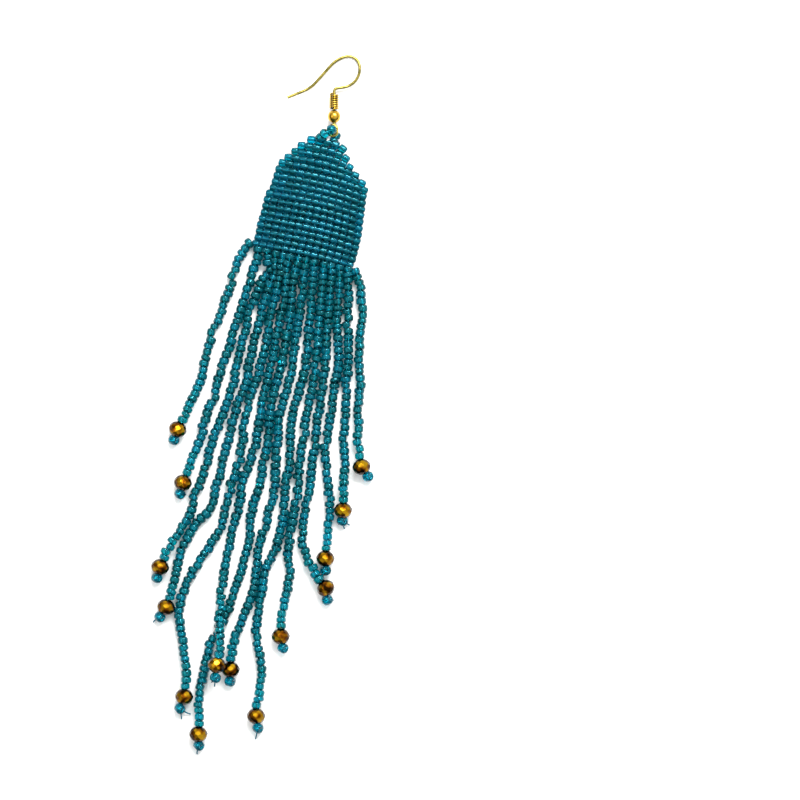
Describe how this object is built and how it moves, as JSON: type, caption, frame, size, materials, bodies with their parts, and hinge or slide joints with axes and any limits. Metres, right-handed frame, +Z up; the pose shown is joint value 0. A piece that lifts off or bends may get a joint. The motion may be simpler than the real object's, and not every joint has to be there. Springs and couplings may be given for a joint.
{
  "type": "beaded earring",
  "caption": "Fringed seed-bead earring in clear teal glass with gold-brown faceted end beads on its strands and a gold-plated ear hook, lying flat.",
  "frame": {"origin": "middle of the bounding box, on the table that the earring lies on", "axes": "+X to the right, +Y from the fringe to the ear hook, +Z up off the table"},
  "size_m": [0.0508, 0.1613, 0.0072],
  "materials": {
    "seed_glass": "gloss",
    "faceted_glass": "coated gloss",
    "plated_wire": "polished"
  },
  "bodies": {
    "root": {"ear_hook": "plated_wire", "hook_coil": "plated_wire", "hook_ball": "plated_wire", "hanging_loop": "seed_glass", "woven_cap": "seed_glass", "strand_01": "seed_glass", "strand_02": "seed_glass", "strand_03": "seed_glass", "strand_04": "seed_glass", "strand_05": "seed_glass", "strand_06": "seed_glass", "strand_07": "seed_glass", "strand_08": "seed_glass", "strand_09": "seed_glass", "strand_10": "seed_glass", "strand_11": "seed_glass", "strand_12": "seed_glass", "strand_13": "seed_glass", "strand_14": "seed_glass", "rondelle_01": "faceted_glass", "rondelle_02": "faceted_glass", "rondelle_03": "faceted_glass", "rondelle_04": "faceted_glass", "rondelle_05": "faceted_glass", "rondelle_06": "faceted_glass", "rondelle_07": "faceted_glass", "rondelle_08": "faceted_glass", "rondelle_09": "faceted_glass", "rondelle_10": "faceted_glass", "rondelle_11": "faceted_glass", "rondelle_12": "faceted_glass", "rondelle_13": "faceted_glass", "rondelle_14": "faceted_glass"}
  },
  "joints": []
}
